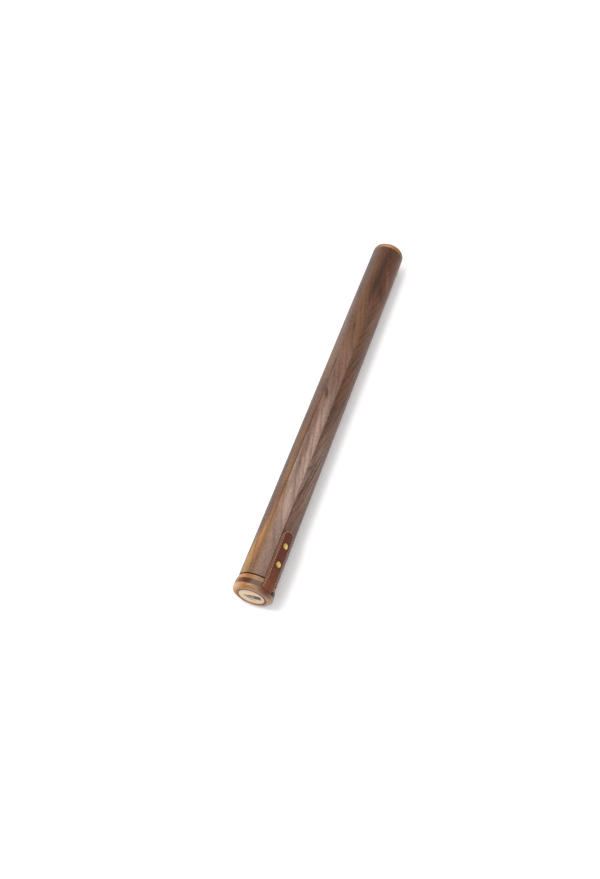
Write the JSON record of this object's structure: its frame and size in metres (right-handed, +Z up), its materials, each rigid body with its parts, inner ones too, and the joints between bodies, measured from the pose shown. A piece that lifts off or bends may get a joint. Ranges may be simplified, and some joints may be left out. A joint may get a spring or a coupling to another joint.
{
  "type": "dip pen case",
  "caption": "Slender stave-built wooden tube case for dip pens, closed by a laminated cap on a riveted leather strap hinge.",
  "frame": {"origin": "on the tube's axis, where the pen bore starts, 3.4 mm inside the open mouth", "axes": "+Y along the tube from the mouth to the closed end, +Z up as the case lies down, +X to the strap's side"},
  "size_m": [0.0268, 0.3189, 0.0268],
  "materials": {
    "walnut": "satin oiled walnut",
    "dark_walnut": "satin oiled dark walnut",
    "cherry": "satin oiled cherry",
    "maple": "smooth pale maple",
    "inlay": "dyed inlay, flush",
    "leather": "vegetable-tanned, lightly waxed",
    "lining": "undyed split leather",
    "thread": "waxed linen thread",
    "brass": "polished, a little worn",
    "felt": "dense wool felt",
    "magnet": "nickel-plated magnet"
  },
  "bodies": {
    "tube": {"stave_1": "walnut", "stave_2": "walnut", "stave_3": "walnut", "stave_4": "walnut", "stave_5": "walnut", "stave_6": "walnut", "stave_7": "walnut", "stave_8": "walnut", "end_plug": "cherry", "base_pad": "felt", "tube_magnets": "magnet", "hinge_strap": "leather", "strap_lining": "lining", "strap_thread": "thread", "rivets": "brass"},
    "cap": {"cap_collar": "cherry", "cap_band": "dark_walnut", "cap_rim": "cherry", "cap_tenon": "maple", "cap_pad": "felt", "cap_magnets": "magnet", "medallion_ring": "dark_walnut", "medallion": "maple", "emblem": "inlay"}
  },
  "joints": [
    {"name": "cap_hinge", "type": "hinge", "parent": "tube", "child": "cap", "pos_m": [0.00977, -0.0038, 0.0088], "axis": [-0.6691, 0, 0.7431], "range_deg": [0, 150], "stiffness_Nm_per_rad": 0.004, "springref_deg": -57.3, "deforming": ["hinge_strap", "strap_lining", "strap_thread"]}
  ]
}
